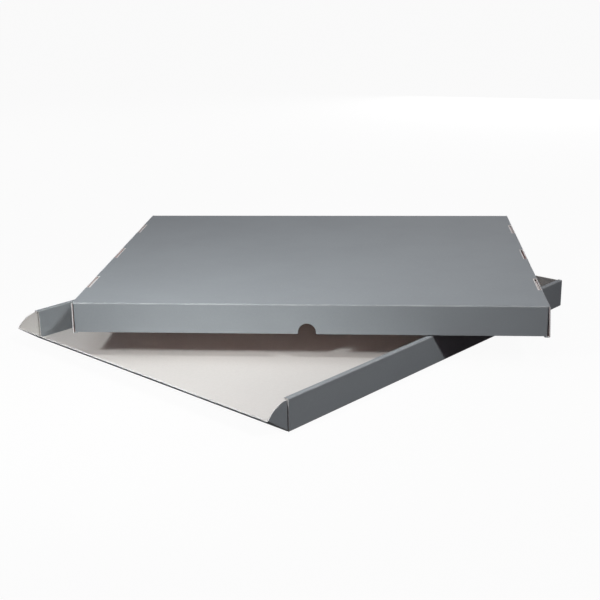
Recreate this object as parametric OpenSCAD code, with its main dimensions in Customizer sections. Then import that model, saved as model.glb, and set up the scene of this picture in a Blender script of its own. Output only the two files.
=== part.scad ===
// Archival print box of folded conservation board: a tray with a front that drops,
// and a full-depth lid that lies turned on top of the tray's walls.
// X runs across the tray, -Y points out through the drop front, Z is up.
// The origin is on the table, at the middle of the tray's floor.

/* [Board] */
// Thickness of the board
board_t = 1.3; // [1:0.1:1.6]
// Inside radius of a fold; the outside of the fold is this plus the board
crease_r = 0.3; // [0.2:0.05:0.5]

/* [Tray] */
// Width of the tray across its rolled side walls
base_w = 436; // [340:1:560]
// Length of the tray from the drop front to the back wall
base_l = 532; // [400:1:680]
// Height of the tray's side walls
wall_h = 36; // [26:0.5:60]
// Thickness of a rolled side wall, over both of its panels
roll_w = 6.5; // [5.8:0.1:9]
// How far the outer panel of a side wall ends before the tray's back face
back_setback = 2; // [0.5:0.1:4]
// Length of the back wall's end flaps, which are tucked into the side walls
back_tuck_l = 100; // [30:1:110]

/* [Drop front] */
// How far the drop front is raised from lying flat on the table
front_angle = 35; // [0:1:90]
// Clearance of the closed drop front below the rolled top of the side walls
front_play = 0.4; // [0.2:0.05:1]
// Clearance of the drop front and its ears to the tray's floor and inner panels
ear_play = 0.4; // [0.25:0.05:0.8]
// Running clearance of the round bead in the front crease
crease_play = 0.08; // [0.05:0.01:0.1]

/* [Lid] */
// Height of the lid
lid_h = 37; // [27:0.5:61]
// Thickness of a rolled wall of the lid, over both of its panels
lid_roll_w = 5.6; // [5.4:0.1:8]
// Room between the closed lid's rolled walls and the tray, at each end
lid_end_gap = 1.9; // [0.8:0.1:4]
// Room between the closed lid's plain walls and the tray, at each side
lid_side_gap = 4.7; // [0.8:0.1:7]
// Length of the plain walls' end flaps, which are tucked into the rolled walls
lid_tuck_l = 104; // [30:1:110]
// How far the rolled rims reach below the bottom edge of the plain walls, past the board
rim_step = 0.2; // [0.1:0.05:1]
// Width of a thumb notch
notch_w = 20.5; // [14:0.5:30]
// Height of a thumb notch above the rim
notch_h = 14.1; // [11:0.1:20]
// Radius that opens the notch's bottom corners
notch_flare = 1.2; // [0.5:0.1:2]

/* [Tucks and locking tabs] */
// Room between a tucked flap and the outer panel beside it
tuck_gap = 0.6; // [0.3:0.05:0.8]
// Length of a slot for a locking tab
slot_l = 49; // [20:1:60]
// Distance from slot to slot along a rolled wall of the tray
tray_slot_pitch = 165; // [90:1:180]
// Distance from slot to slot along a rolled wall of the lid
lid_slot_pitch = 138; // [80:1:140]
// Room between a tab and the ends and inner edge of its slot
tab_play = 0.3; // [0.2:0.05:0.6]
// How far a tab ends below the board's face
tab_below = 0.2; // [0:0.05:0.4]
// How much of the crease's round is cut away beside a slot
slot_nick = 0.3; // [0.1:0.05:0.5]

/* [Lid's place on the tray] */
// Turn of the lid about the vertical
lid_turn = 38.3; // [0:0.1:90]
// Place of the lid's middle across the tray
lid_x = -32.6; // [-80:0.1:80]
// Place of the lid's middle along the tray
lid_y = 59.3; // [-80:0.1:100]

/* [Hidden] */
$fn = 64;
eps = 0.5;
fold_r = board_t + crease_r;
half_w = base_w / 2;
half_l = base_l / 2;
lid_l = base_l + 2 * (lid_roll_w + lid_end_gap);
lid_w = base_w + 2 * (board_t + lid_side_gap);
lid_half_l = lid_l / 2;
lid_half_w = lid_w / 2;
// Distance from a rolled wall's outer face to the outer face of a tucked flap
tuck_u = board_t + tuck_gap;
// The crease of the drop front runs through the middle of the board
crease_y = -half_l + board_t / 2;
crease_z = board_t / 2;
front_r = wall_h - board_t - crease_z - front_play;
front_half_w = half_w - tuck_u;
back_h = wall_h - board_t - rim_step;
slot_steps = [-1, 0, 1];

// Rectangle with a radius of its own at each corner: low left, low right, high right, high left
module round_rect(x0, y0, x1, y1, ll, lr, ur, ul) {
    polygon(concat(
        ll > 0 ? [[x0, y0 + ll], [x0 + ll, y0]] : [[x0, y0]],
        lr > 0 ? [[x1 - lr, y0], [x1, y0 + lr]] : [[x1, y0]],
        ur > 0 ? [[x1, y1 - ur], [x1 - ur, y1]] : [[x1, y1]],
        ul > 0 ? [[x0 + ul, y1], [x0, y1 - ul]] : [[x0, y1]]
    ));
    if (ll > 0) translate([x0 + ll, y0 + ll]) circle(r = ll);
    if (lr > 0) translate([x1 - lr, y0 + lr]) circle(r = lr);
    if (ur > 0) translate([x1 - ur, y1 - ur]) circle(r = ur);
    if (ul > 0) translate([x0 + ul, y1 - ul]) circle(r = ul);
}

// Cross-section of a rolled wall. u runs inward from the wall's outer face, v away from the
// flat panel that the wall is folded from, to the rolled edge at v = h.
module rolled_section(w, h) {
    difference() {
        round_rect(0, 0, w, h, fold_r, 0, fold_r, fold_r);
        round_rect(board_t, board_t, w - board_t, h - board_t, crease_r, 0, crease_r, crease_r);
    }
}

// The part of a rolled wall's cross-section inside a window
module section_window(w, h, u0, v0, u1, v1) {
    intersection() {
        rolled_section(w, h);
        translate([u0, v0]) square([u1 - u0, v1 - v0]);
    }
}

// Sweeps a cross-section along Y from y0 to y1, with u along X and v along Z
module along_y(y0, y1) {
    translate([0, y1, 0]) rotate([90, 0, 0]) linear_extrude(height = y1 - y0) children();
}

// Sweeps a cross-section along X from x0 to x1, with the section's x along Y and its y along Z
module along_x(x0, x1) {
    translate([x0, 0, 0]) rotate([90, 0, 90]) linear_extrude(height = x1 - x0) children();
}

// A plain wall with its two end flaps in plan: the wall's outer face lies at y = 0,
// the flaps run to y = tuck_l inside the rolled walls
module plain_wall_plan(half, tuck_l) {
    difference() {
        round_rect(-half, 0, half, tuck_l, fold_r, fold_r, 0, 0);
        round_rect(-half + board_t, board_t, half - board_t, tuck_l + eps, crease_r, crease_r, 0, 0);
    }
}

// Rolled wall with slots and tabs, outer face at x = 0, running inward along +X.
// outer0 and outer1 end the outer panel, roll0 and roll1 end the rolled edge,
// inner0 and inner1 end the inner panel.
module rolled_wall(w, h, pitch, outer0, outer1, roll0, roll1, inner0, inner1) {
    difference() {
        union() {
            along_y(inner0, inner1) rolled_section(w, h);
            along_y(outer0, outer1) section_window(w, h, -eps, -eps, board_t, h + eps);
            along_y(outer0, outer1) section_window(w, h, -eps, -eps, tuck_u, board_t);
            along_y(roll0, roll1) section_window(w, h, -eps, h - board_t, w + eps, h + eps);
        }
        for (k = slot_steps) {
            translate([board_t, k * pitch - slot_l / 2, -eps])
                cube([w - board_t + tab_play, slot_l, board_t + eps]);
            translate([-eps, k * pitch - slot_l / 2, -eps])
                cube([board_t + 2 * eps, slot_l, slot_nick + eps]);
        }
    }
    for (k = slot_steps)
        translate([w - board_t, k * pitch - slot_l / 2 + tab_play, tab_below])
            cube([board_t, slot_l - 2 * tab_play, board_t - tab_below + eps]);
}

// Openings that the slots make in the flat panel, inward of the rolled wall
module slot_margins(w, pitch) {
    for (k = slot_steps)
        translate([w - eps, k * pitch - slot_l / 2, -eps])
            cube([tab_play + eps, slot_l, board_t + 2 * eps]);
}

// Places children at the left and the right side, mirrored, with x = 0 on the outer face
module both_sides(half) {
    translate([-half, 0, 0]) children();
    mirror([1, 0, 0]) translate([-half, 0, 0]) children();
}

// Floor and back wall in one bend
module floor_and_back() {
    panel_half = half_w - tuck_u - fold_r;
    along_x(-panel_half, panel_half)
        difference() {
            round_rect(-half_l, 0, half_l, back_h, 0, fold_r, 0, 0);
            round_rect(-half_l - eps, board_t, half_l - board_t, back_h + eps, 0, crease_r, 0, 0);
        }
    // The floor's own strips at the sides, under the rolled walls
    along_x(-half_w + tuck_u, half_w - tuck_u)
        intersection() {
            round_rect(-half_l, 0, half_l, back_h, 0, fold_r, 0, 0);
            translate([-half_l, 0]) square([base_l, board_t]);
        }
    // Back wall with the flaps tucked into the side walls
    translate([0, half_l, board_t])
        mirror([0, 1, 0])
            linear_extrude(height = back_h - board_t) plain_wall_plan(half_w - tuck_u, back_tuck_l);
}

// Room for the drop front's bead, panel and ears at the front end of the floor
module front_crease_cut() {
    cut_half = half_w - board_t;
    translate([-cut_half, crease_y, crease_z])
        rotate([0, 90, 0]) cylinder(r = board_t / 2 + crease_play, h = 2 * cut_half);
    translate([-cut_half, -half_l - eps, -eps])
        cube([2 * cut_half, board_t / 2 + eps, board_t + 2 * eps]);
    translate([-cut_half, -half_l - eps, crease_z])
        cube([2 * cut_half, board_t + ear_play + eps, board_t]);
}

module base_tray() {
    color([0.50, 0.53, 0.55])
    difference() {
        union() {
            difference() {
                floor_and_back();
                both_sides(half_w) slot_margins(roll_w, tray_slot_pitch);
                both_sides(half_w) translate([0, -half_l + board_t + ear_play, -eps])
                    cube([roll_w, base_l - 2 * (board_t + ear_play), board_t + 2 * eps]);
            }
            both_sides(half_w)
                rolled_wall(
                    roll_w, wall_h, tray_slot_pitch,
                    -half_l, half_l - back_setback,
                    -half_l, half_l - back_setback,
                    -half_l + board_t + ear_play, half_l - board_t - ear_play
                );
        }
        front_crease_cut();
    }
}

// Panel and ears as they lie with the drop front flat on the table
module front_flat() {
    intersection() {
        along_y(crease_y - front_r - eps, crease_y)
            difference() {
                round_rect(
                    -front_half_w, 0, front_half_w, crease_z + front_r + eps,
                    fold_r, fold_r, 0, 0
                );
                round_rect(
                    -front_half_w + board_t, board_t, front_half_w - board_t, front_r + 4 * eps,
                    crease_r, crease_r, 0, 0
                );
            }
        translate([-half_w, crease_y, crease_z])
            rotate([0, 90, 0]) cylinder(r = front_r, h = base_w);
        // The ears end short of the crease, so that they stand clear of the floor when closed
        union() {
            translate([-half_w, crease_y - front_r - eps, -eps])
                cube([base_w, front_r - board_t / 2 - ear_play + eps, wall_h]);
            translate([-half_w, crease_y - front_r - eps, -eps])
                cube([base_w, front_r + eps, board_t + eps]);
        }
    }
    translate([-front_half_w + fold_r, crease_y, crease_z])
        rotate([0, 90, 0]) cylinder(r = board_t / 2, h = 2 * (front_half_w - fold_r));
}

module drop_front() {
    color([0.42, 0.44, 0.46])
    translate([0, crease_y, crease_z])
        rotate([-front_angle, 0, 0])
            translate([0, -crease_y, -crease_z])
                front_flat();
}

// Thumb notch in a plain wall: half round, with short straight sides that open at the bottom.
// Drawn in the wall's plane, from the wall's bottom edge up.
module thumb_notch() {
    r = notch_w / 2;
    wall_z = board_t + rim_step;
    translate([0, 2 * board_t, 0])
        rotate([90, 0, 0])
            linear_extrude(height = 4 * board_t)
                union() {
                    translate([0, notch_h - r]) circle(r = r);
                    translate([-r, 0]) square([notch_w, notch_h - r]);
                    difference() {
                        translate([-r - notch_flare, 0])
                            square([notch_w + 2 * notch_flare, wall_z + notch_flare]);
                        translate([-r - notch_flare, wall_z + notch_flare]) circle(r = notch_flare);
                        translate([r + notch_flare, wall_z + notch_flare]) circle(r = notch_flare);
                    }
                }
}

// The lid upside down: its top panel on the ground, rims up
module lid_blank() {
    panel_half = lid_half_l - tuck_u - fold_r;
    plain_h = lid_h - board_t - rim_step;
    difference() {
        union() {
            along_x(-panel_half, panel_half)
                difference() {
                    round_rect(-lid_half_w, 0, lid_half_w, plain_h, fold_r, fold_r, 0, 0);
                    round_rect(
                        -lid_half_w + board_t, board_t, lid_half_w - board_t, plain_h + eps,
                        crease_r, crease_r, 0, 0
                    );
                }
            along_x(-lid_half_l + tuck_u, lid_half_l - tuck_u)
                intersection() {
                    round_rect(-lid_half_w, 0, lid_half_w, plain_h, fold_r, fold_r, 0, 0);
                    translate([-lid_half_w, 0]) square([lid_w, board_t]);
                }
            for (m = [0, 1])
                mirror([0, m, 0])
                    translate([0, -lid_half_w, board_t])
                        linear_extrude(height = plain_h - board_t)
                            plain_wall_plan(lid_half_l - tuck_u, lid_tuck_l);
        }
        both_sides(lid_half_l) slot_margins(lid_roll_w, lid_slot_pitch);
        both_sides(lid_half_l) translate([0, -lid_half_w + board_t + ear_play, -eps])
            cube([lid_roll_w, lid_w - 2 * (board_t + ear_play), board_t + 2 * eps]);
    }
    both_sides(lid_half_l)
        rolled_wall(
            lid_roll_w, lid_h, lid_slot_pitch,
            -lid_half_w, lid_half_w,
            -lid_half_w, lid_half_w,
            -lid_half_w + board_t + ear_play, lid_half_w - board_t - ear_play
        );
}

module lid() {
    color([0.53, 0.56, 0.58])
    translate([lid_x, lid_y, wall_h])
        rotate([0, 0, lid_turn])
            difference() {
                translate([0, 0, lid_h]) mirror([0, 0, 1]) lid_blank();
                for (m = [0, 1]) mirror([0, m, 0]) translate([0, -lid_half_w, 0]) thumb_notch();
            }
}

base_tray();
drop_front();
lid();
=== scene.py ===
# %% [markdown]
# # An archival print box of folded board
# The box is two folded sheets of conservation board: a tray whose front drops on its
# crease, and a lid that lies turned on top of it. The packed model already holds every
# panel, fold, slot and tab in its true shape, so this script leaves those solids where
# they are and gives them paper, light and a camera. A box like this could be modelled
# again as thin surfaces, but then the cut edges, which show the pale core of the board,
# would be lost.

# %% Load the packed model
import math

import bpy
from mathutils import Matrix, Vector


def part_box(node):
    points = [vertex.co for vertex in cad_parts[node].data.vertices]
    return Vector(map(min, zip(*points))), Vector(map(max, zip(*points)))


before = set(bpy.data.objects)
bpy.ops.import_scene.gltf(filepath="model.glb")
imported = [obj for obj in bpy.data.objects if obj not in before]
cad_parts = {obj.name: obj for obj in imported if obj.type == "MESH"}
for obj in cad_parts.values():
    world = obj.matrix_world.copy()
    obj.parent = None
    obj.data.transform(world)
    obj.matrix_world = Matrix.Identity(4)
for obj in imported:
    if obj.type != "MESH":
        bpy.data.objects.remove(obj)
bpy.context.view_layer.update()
print("nodes:", sorted(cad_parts))

# %% [markdown]
# ## Sizes that the finishes need
# The paper on the outside of the board is grey, the paper on the inside is off-white, and
# a cut edge shows the pale core between them. To know which is which at a point, the
# finish measures how deep that point lies below the outside of the folded sheet. That
# needs the same few sizes that the sheet was folded to, here in metres.

# %% Sizes of the folded sheets
MM = 0.001
BOARD = 1.3 * MM  # thickness of the board
FOLD = 1.6 * MM  # outside radius of a fold
TUCK = 1.9 * MM  # from a rolled wall's outside to the flap tucked inside it
FLAP_FROM = 1.6 * MM  # points of a tucked flap lie deeper than this in the wall
FOLD_HIGHLIGHT_AND_WEAR_FROM = 0.4 * MM  # a fold turns lighter from this far round its bend: painted highlight where it catches the light, and wear

tray_lo, tray_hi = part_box("base_tray")
TRAY_HALF_W = tray_hi.x
TRAY_HALF_L = tray_hi.y
WALL_H = tray_hi.z
TRAY_ROLL = 6.5 * MM  # whole thickness of a rolled wall
TRAY_TUCK_LENGTH = 100 * MM
TRAY_FLAP_TO = 4.0 * MM  # and points of its tucked flap less deep than this

LID_TURN = math.radians(38.3)
LID_AT = Vector((-32.6 * MM, 59.3 * MM, WALL_H))  # middle of the lid's rim
LID_HALF_L = 273.5 * MM
LID_HALF_W = 224.0 * MM
LID_H = 37 * MM
LID_ROLL = 5.6 * MM
LID_TUCK_LENGTH = 104 * MM
LID_FLAP_TO = 3.6 * MM

CREASE_Y = -TRAY_HALF_L + BOARD / 2
CREASE_Z = BOARD / 2
FRONT_RISE = math.radians(35)  # how far the drop front stands up from flat
FRONT_HALF_W = TRAY_HALF_W - TUCK
print("tray half width, half length, height:", TRAY_HALF_W, TRAY_HALF_L, WALL_H)
print("lid half length, half width, height:", LID_HALF_L, LID_HALF_W, LID_H)

# %% [markdown]
# ## Shader maths as plain expressions
# A procedural finish is a web of small nodes. Wiring them one by one is slow to read, so
# this class wraps one output socket and lets Python's own operators add the Math nodes.
# Colours and vectors keep to Mix and Vector Math nodes, because a Math node would turn
# them into a single grey value. Any other node comes from one method, which takes the
# node's type, its settings and the values or links of its sockets.


# %% A socket that can be calculated with
class Wire:
    """One output socket of a node tree, with arithmetic that adds nodes."""

    def __init__(self, tree, socket):
        self.tree = tree
        self.socket = socket

    def node(self, kind, settings=(), **inputs):
        """Adds any node; a socket is named, with _ for a space, or numbered as in_0."""
        made = self.tree.nodes.new(kind)
        for name, value in dict(settings).items():
            setattr(made, name, value)
        for key, value in inputs.items():
            index = int(key[3:]) if key.startswith("in_") else key.replace("_", " ")
            socket = made.inputs[index]
            if isinstance(value, Wire):
                self.tree.links.new(value.socket, socket)
            else:
                socket.default_value = value
        return made

    def out(self, kind, output=0, settings=(), **inputs):
        """Adds a node in the same way and gives the wire of one of its outputs."""
        made = self.node(kind, settings, **inputs)
        return Wire(self.tree, made.outputs[output])

    def join(self, node, output, other, entry):
        """Links two nodes that were made before."""
        self.tree.links.new(node.outputs[output], other.inputs[entry])

    def math(self, operation, a, b=None, c=None):
        inputs = {"in_0": a}
        if b is not None:
            inputs["in_1"] = b
        if c is not None:
            inputs["in_2"] = c
        return self.out("ShaderNodeMath", 0, {"operation": operation}, **inputs)

    def __add__(self, other):
        return self.math("ADD", self, other)

    __radd__ = __add__

    def __sub__(self, other):
        return self.math("SUBTRACT", self, other)

    def __rsub__(self, other):
        return self.math("SUBTRACT", other, self)

    def __mul__(self, other):
        return self.math("MULTIPLY", self, other)

    __rmul__ = __mul__

    def __truediv__(self, other):
        return self.math("DIVIDE", self, other)

    def __abs__(self):
        return self.math("ABSOLUTE", self)

    def above(self, level):
        return self.math("GREATER_THAN", self, level)

    def below(self, level):
        return self.math("LESS_THAN", self, level)

    def at_least(self, other):
        return self.math("MAXIMUM", self, other)

    def at_most(self, other):
        return self.math("MINIMUM", self, other)

    def root(self):
        return self.math("SQRT", self)

    def ramp(self, low, high, to_low=0.0, to_high=1.0):
        """Smooth step from to_low at low to to_high at high."""
        return self.out(
            "ShaderNodeMapRange", 0,
            {"interpolation_type": "SMOOTHSTEP", "clamp": True},
            Value=self, From_Min=low, From_Max=high, To_Min=to_low, To_Max=to_high,
        )

    def choose(self, yes, no):
        """yes where this mask is 1, no where it is 0, for plain numbers."""
        return self * yes + (1 - self) * no

    def blend(self, low, high):
        """Mixes two colours by this mask, low where it is 0 and high where it is 1."""
        return self.out(
            "ShaderNodeMix", 2, {"data_type": "RGBA"}, in_0=self, in_6=low, in_7=high,
        )


def fresh_tree(owner):
    """Empties the node tree of a material or world and gives a first wire to build on."""
    owner.use_nodes = True
    owner.node_tree.nodes.clear()
    return Wire(owner.node_tree, None)


print("a wire can:", ", ".join(n for n in vars(Wire) if not n.startswith("_")))

# %% [markdown]
# ## Colours as they are read off a screen
# A colour is easiest to judge on the 0 to 255 scale of a screen, but a shader works with
# linear light. This small function turns the one into the other, so that the colours
# below can be written as a printer or paper maker would read them.


# %% From screen colour to linear light
def srgb(red, green, blue):
    """A colour picked on a 0 to 255 screen scale, as the linear values that shaders use."""
    def linear(v):
        v /= 255
        return v / 12.92 if v <= 0.04045 else ((v + 0.055) / 1.055) ** 2.4
    return (linear(red), linear(green), linear(blue), 1.0)


print("mid grey in linear light:", round(srgb(128, 128, 128)[0], 3))

# %% [markdown]
# ## Where a point lies in the thickness of the board
# For a sheet that is folded round a corner, the depth below the outside is measured like
# the inside of a rounded box: straight in from a flat face, and from the arc at a fold.
# The same small formula serves every fold, so the finish can tell outer paper, core and
# inner paper apart on all the panels. Painting the faces by hand would do the same, but it
# would have to be done again after each change of the model.


# %% Depth below the outside of a fold
def rounded(a, b):
    """How far two overshoots past a fold's centre lie from its arc; both zero gives FOLD."""
    p = a.at_least(0.0)
    q = b.at_least(0.0)
    return FOLD - (p * p + q * q).root()


def on_arc(a, b):
    """1 on the round of a fold, where both overshoots are positive."""
    return a.ramp(0.0, FOLD_HIGHLIGHT_AND_WEAR_FROM) * b.ramp(0.0, FOLD_HIGHLIGHT_AND_WEAR_FROM)


print("radius of a fold:", round(FOLD / MM, 2), "mm")
print("thickness of the board:", round(BOARD / MM, 2), "mm")

# %% [markdown]
# ## The tray's sheet
# The tray's side walls are rolled: the sheet goes up, over a narrow band and down again,
# and a flap of the back wall is tucked into the hollow between. So a point near the side
# is measured from the wall, a point further in from the floor, and a point in the hollow
# from the flap. Masks that are 1 or 0 choose between the three.


# %% Depth in the tray
SLACK = 0.05 * MM  # added to a limit so that faces which lie on it are taken in


def tray_depth(x, y, z):
    """Depth below the outside of the tray's sheet, and a mask of its folds."""
    u = TRAY_HALF_W - abs(x)
    past_back = (y + FOLD) - TRAY_HALF_L
    side = (FOLD - u).at_least(u + (FOLD - TRAY_ROLL))
    top_or_floor = (z + (FOLD - WALL_H)).at_least(FOLD - z)
    wall = rounded(side, top_or_floor)
    floor_back = rounded(FOLD - z, past_back)
    flap = rounded((FOLD + TUCK) - u, past_back)
    in_wall = u.below(TRAY_ROLL + SLACK)
    on_flap = u.above(FLAP_FROM) * u.below(TRAY_FLAP_TO) * z.above(BOARD + SLACK)
    on_flap = on_flap * y.above(TRAY_HALF_L - TRAY_TUCK_LENGTH - 0.2 * MM)
    in_hollow = on_flap * z.below(WALL_H - BOARD - SLACK)
    depth = in_wall.choose(wall.at_most(floor_back), floor_back)
    depth = in_hollow.choose(flap, depth)
    folds = in_wall * on_arc(side, top_or_floor) + on_arc(FOLD - z, past_back)
    return depth, folds.at_most(1.0)


print("the tray's rolled walls are", round(TRAY_ROLL / MM, 1), "mm thick")


# %% [markdown]
# ## The lid's sheet
# On the lid the short end walls are rolled and the long ones are plain. The outer panels
# of the end walls have sprung outward a little at the rim, which is modelled further
# down. The depth has to allow for that lean, or else the leaning panel would count as
# lying outside the sheet, so the lean is defined here, once, for both uses.

# %% Lean of the lid's end walls
LID_LEAN_LEFT = 0.8 * MM
LID_LEAN_RIGHT = 1.6 * MM


def lid_lean(x, z):
    """How far the outer panel of a lid's end wall has sprung outward at height z."""
    at_rim = x.above(0.0).choose(LID_LEAN_RIGHT, LID_LEAN_LEFT)
    return at_rim * (1 - z / LID_H)


print("lean at the rim, left and right:", LID_LEAN_LEFT / MM, LID_LEAN_RIGHT / MM, "mm")


# %% Depth in the lid
def lid_depth(x, y, z):
    """Depth and folds of the lid, with x, y, z square to its own walls."""
    u = LID_HALF_L - abs(x)
    upright = u + lid_lean(x, z)
    u = z.below(BOARD + 0.15 * MM).choose(u.at_least(FOLD), u)
    u = upright.below(FOLD + 0.1 * MM).choose(upright, u)
    v = LID_HALF_W - abs(y)
    side = (FOLD - u).at_least(u + (FOLD - LID_ROLL))
    top = z + (FOLD - LID_H)
    wall = rounded(side, top.at_least(FOLD - z))
    panel = rounded(top, FOLD - v)
    flap = rounded((FOLD + TUCK) - u, FOLD - v)
    in_wall = u.below(LID_ROLL + SLACK)
    on_flap = u.above(FLAP_FROM) * u.below(LID_FLAP_TO) * v.below(LID_TUCK_LENGTH + 0.2 * MM)
    in_hollow = on_flap * z.below(LID_H - BOARD - SLACK) * z.above(BOARD + SLACK)
    # The roof of the rolled walls is the top panel itself, so its inner edge isn't a fold
    roof = z.above(LID_H - FOLD) * u.above(LID_ROLL / 2)
    wall = roof.choose(LID_H - z, wall)
    depth = in_wall.choose(wall.at_most(panel), panel)
    # The outer panel of a rolled wall ends in a cut edge beside the plain wall's fold
    depth = u.below(BOARD + 0.3 * MM).choose(wall, depth)
    depth = in_hollow.choose(flap, depth)
    folds = on_arc(FOLD - u, top) + on_arc(top, FOLD - v)
    folds = folds + in_wall * on_arc(side, FOLD - z)
    return depth, folds.at_most(1.0)


print("the lid's rolled walls are", round(LID_ROLL / MM, 1), "mm thick")


# %% [markdown]
# ## The drop front's sheet
# The drop front is a plain panel with an ear folded up at each end, so one fold rule is
# enough. It is measured with the panel turned back flat about its crease.


# %% Depth in the drop front
def front_depth(x, y, z):
    """Depth and folds of the drop front, with the panel laid flat."""
    u = FRONT_HALF_W - abs(x)
    depth = rounded(FOLD - u, FOLD - z)
    return depth, on_arc(FOLD - u, FOLD - z)


print("drop front half width:", round(FRONT_HALF_W / MM, 1), "mm")

# %% [markdown]
# ## The board's paper
# The outer paper is a mid grey with a faint cloudiness, short pale and dark fibres, and a
# fine tooth that breaks up the light. Folds are painted a shade lighter: partly a painted
# highlight where a fold catches the light, partly stretched and worn paper. The inner paper
# is off-white and smoother. The core at a cut edge is pale, with the faint lines of its
# layers. All of it is made from noise in the object's own coordinates, so it stays put when the
# front drops and looks the same from every side.
# The lid's lining is a slightly warmer white: it can't be seen in the picture, but it
# gives the shade under the lid its warm tone.

# %% Colours of the board
GREY = (155, 162, 166)  # outer paper
GREY_FOLD_HIGHLIGHT_AND_WEAR = (174, 179, 181)  # outer paper on a fold: painted highlight where the fold catches the light, and worn paper
GREY_FIBRE = (186, 189, 190)  # its pale fibres
WHITE = (226, 225, 221)  # inner paper
LID_WHITE = (237, 217, 214)  # inner paper of the lid
CORE = (241, 241, 239)  # cut edge
CORE_LINE = (214, 213, 210)  # lines of the layers in a cut edge
SKIN = 0.12 * MM  # thickness of the grey paper
LINING = 0.10 * MM  # thickness of the white paper
LAYER = 0.32 * MM  # spacing of the core's layers


# %% Make the board's finish
def board_finish(name, depth_rule, to_flat=None, inner=WHITE):
    """A board material; to_flat turns the object's coordinates into the folding frame."""
    material = bpy.data.materials.new(name)
    start = fresh_tree(material)
    tree = start.tree
    place = start.out("ShaderNodeTexCoord", 3)  # the object's own coordinates
    if to_flat is not None:
        place = to_flat(start, place)
    split = start.node("ShaderNodeSeparateXYZ", Vector=place)
    x, y, z = (Wire(tree, split.outputs[k]) for k in range(3))
    depth, folds = depth_rule(x, y, z)

    clouds = start.out("ShaderNodeTexNoise", 0, Vector=place, Scale=14.0, Detail=3.0)
    mottle = start.out(
        "ShaderNodeTexNoise", 0, Vector=place, Scale=420.0, Detail=4.0, Roughness=0.6,
    )
    tooth = start.out("ShaderNodeTexNoise", 0, Vector=place, Scale=1500.0, Detail=2.0)
    long_way = start.out(
        "ShaderNodeVectorMath", 0, {"operation": "MULTIPLY"},
        in_0=place, in_1=(1.0, 0.16, 1.0),
    )
    fibres = start.out("ShaderNodeTexNoise", 0, Vector=long_way, Scale=900.0, Detail=1.0)
    pale_fibres = fibres.ramp(0.66, 0.78)
    fold_highlight_and_wear_noise = start.out("ShaderNodeTexNoise", 0, Vector=place, Scale=60.0, Detail=5.0)

    grey_dark = srgb(*(0.985 * v for v in GREY))
    grey_pale = srgb(*(1.015 * v for v in GREY))
    shade = clouds.ramp(0.3, 0.7) * 0.55 + mottle.ramp(0.3, 0.7) * 0.45
    grey = shade.blend(grey_dark, grey_pale)
    grey = (pale_fibres * 0.16).blend(grey, srgb(*GREY_FIBRE))
    # Painted highlight and wear: folds are made lighter, partly as if they caught the light,
    # partly as worn paper
    fold_highlight_and_wear = folds * fold_highlight_and_wear_noise.ramp(0.35, 0.65, 0.35, 0.95)
    grey = fold_highlight_and_wear.blend(grey, srgb(*GREY_FOLD_HIGHLIGHT_AND_WEAR))

    white = mottle.ramp(0.3, 0.7).blend(srgb(*(0.985 * v for v in inner)), srgb(*inner))
    layers = start.math("SINE", depth * (2 * math.pi / LAYER)) * 0.5 + 0.5
    core = (layers * 0.25 + mottle * 0.3).blend(srgb(*CORE), srgb(*CORE_LINE))

    inside = depth.above(BOARD - LINING)
    skin = depth.below(SKIN)
    colour = inside.blend(core, white)
    colour = skin.blend(colour, grey)

    rough = mottle.ramp(0.3, 0.7, 0.74, 0.86) + inside * 0.05
    height = tooth * 0.5 + mottle * 0.35 + clouds * 1.5
    bump = start.node("ShaderNodeBump", Strength=0.35, Distance=0.00008, Height=height)

    shader = start.node(
        "ShaderNodeBsdfPrincipled",
        Base_Color=colour, Roughness=rough, Normal=Wire(tree, bump.outputs[0]),
    )
    shader.inputs["Specular IOR Level"].default_value = 0.05
    start.join(shader, 0, start.node("ShaderNodeOutputMaterial"), 0)
    print(name, "has", len(tree.nodes), "nodes")
    return material


# %% [markdown]
# ## Folding frames
# The lid lies turned on the tray, and the drop front stands half open. Their depth rules
# are written for a lid that is square to the axes and a front that lies flat. So two
# small functions turn the shader's coordinates back by the same angles, which keeps the
# rules simple and leaves the pieces where they are.


# %% Frames of the lid and the drop front
def lid_frame(start, place):
    """From the row's frame to the lid's own: moved to its rim's middle and turned back."""
    moved = start.out(
        "ShaderNodeVectorMath", 0, {"operation": "SUBTRACT"}, in_0=place, in_1=LID_AT[:],
    )
    return start.out(
        "ShaderNodeVectorRotate", 0, {"rotation_type": "Z_AXIS"}, Vector=moved, Angle=-LID_TURN,
    )


def front_frame(start, place):
    """Turns the raised front back flat about its crease."""
    return start.out(
        "ShaderNodeVectorRotate", 0, {"rotation_type": "X_AXIS"},
        Vector=place, Center=(0.0, CREASE_Y, CREASE_Z), Angle=FRONT_RISE,
    )


print("lid turned by", round(math.degrees(LID_TURN), 1), "degrees")
print("front raised by", round(math.degrees(FRONT_RISE), 1), "degrees")

# %% [markdown]
# ## The lid's end walls
# The outer panel of each rolled end wall is held at its fold with the top and springs a
# little outward at the rim, which opens the dark gap beside the long wall's corner. The
# packed lid has its walls upright. A shape key or an edit of the mesh would change the
# packed vertices. A small set of geometry nodes leans the outer panels and leaves those
# vertices as they are, and it is built with the same wires as the finish.


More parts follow.
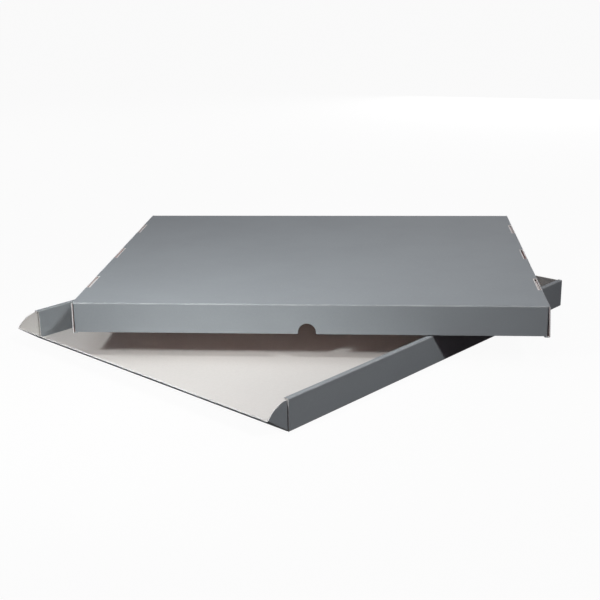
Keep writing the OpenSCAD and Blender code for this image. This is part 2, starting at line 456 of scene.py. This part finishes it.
# %% Lean the outer panels of the end walls
def lean_end_walls(lid):
    """Adds a modifier that moves each outer panel outward, most at the rim."""
    tree = bpy.data.node_groups.new("lean_end_walls", "GeometryNodeTree")
    tree.interface.new_socket("Geometry", in_out="INPUT", socket_type="NodeSocketGeometry")
    tree.interface.new_socket("Geometry", in_out="OUTPUT", socket_type="NodeSocketGeometry")
    start = Wire(tree, None)
    place = lid_frame(start, start.out("GeometryNodeInputPosition"))
    split = start.node("ShaderNodeSeparateXYZ", Vector=place)
    x, z = Wire(tree, split.outputs[0]), Wire(tree, split.outputs[2])
    u = LID_HALF_L - abs(x)
    on_panel = u.below(FOLD + SLACK)
    on_rim = z.below(BOARD + 0.15 * MM) * u.ramp(FOLD, LID_ROLL - FOLD, 1.0, 0.0)
    lean = on_panel.at_least(on_rim) * lid_lean(x, z)
    outward = start.math("SIGN", x) * lean
    sideways = start.out("ShaderNodeCombineXYZ", X=outward)
    offset = start.out(
        "ShaderNodeVectorRotate", 0, {"rotation_type": "Z_AXIS"}, Vector=sideways, Angle=LID_TURN,
    )
    entry = start.node("NodeGroupInput")
    move = start.node("GeometryNodeSetPosition", Offset=offset)
    start.join(entry, 0, move, "Geometry")
    start.join(move, 0, start.node("NodeGroupOutput"), 0)
    modifier = lid.modifiers.new("lean_end_walls", "NODES")
    modifier.node_group = tree
    return modifier


lean_end_walls(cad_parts["lid"])
print("lid modifiers:", [m.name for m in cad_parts["lid"].modifiers])

# %% [markdown]
# ## The three pieces get their finish
# Tray, drop front and lid are cut from the same board, so one recipe makes all three
# materials, each with the depth rule of its own sheet. One shared material would be
# shorter, but the three are folded in different frames. The packed solids keep their
# shape and only their material slot is filled.

# %% Dress the three pieces
finishes = {
    "base_tray": board_finish("tray_board_paper", tray_depth),
    "drop_front": board_finish("front_board_paper", front_depth, front_frame),
    "lid": board_finish("lid_board_paper", lid_depth, lid_frame, LID_WHITE),
}
for node_name, material in finishes.items():
    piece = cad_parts[node_name]
    piece.data.materials.clear()
    piece.data.materials.append(material)
    print(node_name, "wears", material.name)

# %% [markdown]
# ## Rays that see white
# The photograph shows the box on pure white. More light on the floor would wash out the
# pale inside of the tray, so the white comes from what certain rays see: those of the
# camera, and those of gloss and glass, which mirror what the camera would see. All other
# rays see a plain table and a dim room, and the light on the box stays plain.

# %% What the camera sees
PURE_WHITE = (1.0, 1.0, 1.0, 1.0)


def seen_directly(start):
    """1 for camera, glossy and transmission rays, 0 for the rays that light the box."""
    rays = start.node("ShaderNodeLightPath")
    camera_ray, glossy_ray, clear_ray = (
        Wire(start.tree, rays.outputs[name])
        for name in ("Is Camera Ray", "Is Glossy Ray", "Is Transmission Ray")
    )
    return camera_ray.at_least(glossy_ray).at_least(clear_ray)


def either(start, mask, no, yes):
    """A Mix Shader of two shader nodes: no where the mask is 0 and yes where it is 1."""
    mix = start.node("ShaderNodeMixShader", Fac=mask)
    start.join(no, 0, mix, 1)
    start.join(yes, 0, mix, 2)
    return mix


print("white as a strength:", PURE_WHITE[0])

# %% [markdown]
# ## Floor
# The floor is a wide plane just under the box. Where the camera sees it, it is nearly all
# glow and a little matt paint, which keeps a faint shadow of the box. For the rays that
# light the box it is a dark table, so that little light comes up from below.

# %% Make the floor
FLOOR_HALF = 40.0
FLOOR_Z = -0.3 * MM
FLOOR_GLOW = 0.95  # share of glow in what the camera sees
FLOOR_PAINT = (235, 235, 235)
TABLE = (64, 62, 62)


def pale_floor():
    """The plane with its paint."""
    mesh = bpy.data.meshes.new("studio_floor")
    corners = [
        (x * FLOOR_HALF, y * FLOOR_HALF, FLOOR_Z)
        for x, y in ((-1, -1), (1, -1), (1, 1), (-1, 1))
    ]
    mesh.from_pydata(corners, [], [(0, 1, 2, 3)])
    floor = bpy.data.objects.new("studio_floor", mesh)
    bpy.context.scene.collection.objects.link(floor)
    material = bpy.data.materials.new("studio_floor_paint")
    start = fresh_tree(material)
    table = start.node("ShaderNodeBsdfDiffuse", Color=srgb(*TABLE))
    matt = start.node("ShaderNodeBsdfDiffuse", Color=srgb(*FLOOR_PAINT))
    glow = start.node("ShaderNodeEmission", Color=PURE_WHITE, Strength=1.0)
    white = either(start, FLOOR_GLOW, matt, glow)
    both = either(start, seen_directly(start), table, white)
    start.join(both, 0, start.node("ShaderNodeOutputMaterial"), 0)
    mesh.materials.append(material)
    return floor


studio_floor = pale_floor()
print("floor half size:", studio_floor.dimensions[0] / 2)

# %% [markdown]
# ## World
# The world stands for the walls of the room. It lights the shade under the lid a little,
# in the warm tone that the photograph has there, and it is plain white to the camera. A
# picture of a real room would do the same, but this finish needs no image file.

# %% Make the world
ROOM_TONE = (1.0, 0.73, 0.86, 1.0)
ROOM_STRENGTH = 0.078


def surroundings(fill, strength):
    """A dim room that looks white to the camera."""
    world = bpy.data.worlds.new("studio")
    bpy.context.scene.world = world
    start = fresh_tree(world)
    dim = start.node("ShaderNodeBackground", Color=fill, Strength=strength)
    white = start.node("ShaderNodeBackground", Color=PURE_WHITE, Strength=1.0)
    both = either(start, seen_directly(start), dim, white)
    start.join(both, 0, start.node("ShaderNodeOutputWorld"), 0)
    return world


surroundings(ROOM_TONE, ROOM_STRENGTH)
print("world:", bpy.context.scene.world.name)

# %% [markdown]
# ## Lamps
# Two soft panels light the box: one in front and a larger one further off on the right.
# Their two shadows of the lid's rim fall side by side on the tray's floor. Both have a
# narrow spread, as a studio lamp with a grid has, so the light fades a little towards the
# far right of the box. The other three are faint fill from above, behind and the left,
# for the sides that the two don't reach. Each is placed by its compass angle round the
# box, its height angle and its distance.


# %% Soft panels
BOX_MIDDLE = Vector((0.0, 0.0, 0.03))


def soft_panel(name, azimuth, elevation, distance, size, power, spread=180, toward=BOX_MIDDLE):
    """A square lamp; azimuth 0 is in front of the drop front and 90 on its right."""
    lamp = bpy.data.lights.new(name, "AREA")
    lamp.shape = "SQUARE"
    lamp.size = size
    lamp.energy = power
    lamp.spread = math.radians(spread)
    a, e = math.radians(azimuth), math.radians(elevation)
    way = Vector((math.sin(a) * math.cos(e), -math.cos(a) * math.cos(e), math.sin(e)))
    holder = bpy.data.objects.new(name, lamp)
    holder.location = BOX_MIDDLE + way * distance
    holder.rotation_mode = "QUATERNION"
    holder.rotation_quaternion = (holder.location - Vector(toward)).to_track_quat("Z", "Y")
    bpy.context.scene.collection.objects.link(holder)
    print(name, "at", [round(v, 3) for v in holder.location])
    return holder


soft_panel("front_panel", 3, 32, 1.3, 0.13, 0.64, 47, (0.03, -0.17, 0.035))
soft_panel("right_panel", 87, 45, 2.8, 0.24, 1.76, 45, (0.0, -0.25, 0.05))
soft_panel("top_panel", 0, 80, 1.8, 0.9, 5.0)
soft_panel("back_panel", 205, 10, 2.4, 0.8, 16.0)
soft_panel("left_panel", -100, 20, 2.4, 0.8, 3.0)

# %% [markdown]
# ## Camera
# The camera looks down past the drop front's right corner. Its place, its turn and its
# lens come from the vanishing lines of the tray and the lid. An aimed camera would be
# quicker to set up, but three turn angles also give the slight roll of the photograph.

# %% Camera
CAMERA_AT = Vector((0.88279, -0.95778, 0.44068))
CAMERA_YAW = 43.074
CAMERA_PITCH = 17.549
CAMERA_ROLL = -1.037
LENS = 63.43


def photo_camera():
    """The camera of the photograph, turned by yaw, then pitch, then roll."""
    yaw, pitch, roll = (math.radians(v) for v in (CAMERA_YAW, CAMERA_PITCH, CAMERA_ROLL))
    ahead = Vector((
        -math.sin(yaw) * math.cos(pitch), math.cos(yaw) * math.cos(pitch), -math.sin(pitch),
    ))
    level_right = Vector((math.cos(yaw), math.sin(yaw), 0.0))
    level_up = level_right.cross(ahead)
    right = level_right * math.cos(roll) + level_up * math.sin(roll)
    up = level_up * math.cos(roll) - level_right * math.sin(roll)
    data = bpy.data.cameras.new("photo_camera")
    data.lens = LENS
    data.sensor_width = 36.0
    holder = bpy.data.objects.new("photo_camera", data)
    turn = Matrix((right, up, -ahead)).transposed()
    holder.matrix_world = Matrix.Translation(CAMERA_AT) @ turn.to_4x4()
    bpy.context.scene.collection.objects.link(holder)
    bpy.context.scene.camera = holder
    return holder


camera = photo_camera()
bpy.context.scene.view_settings.view_transform = "Standard"
print("camera lens:", camera.data.lens)

# %% [markdown]
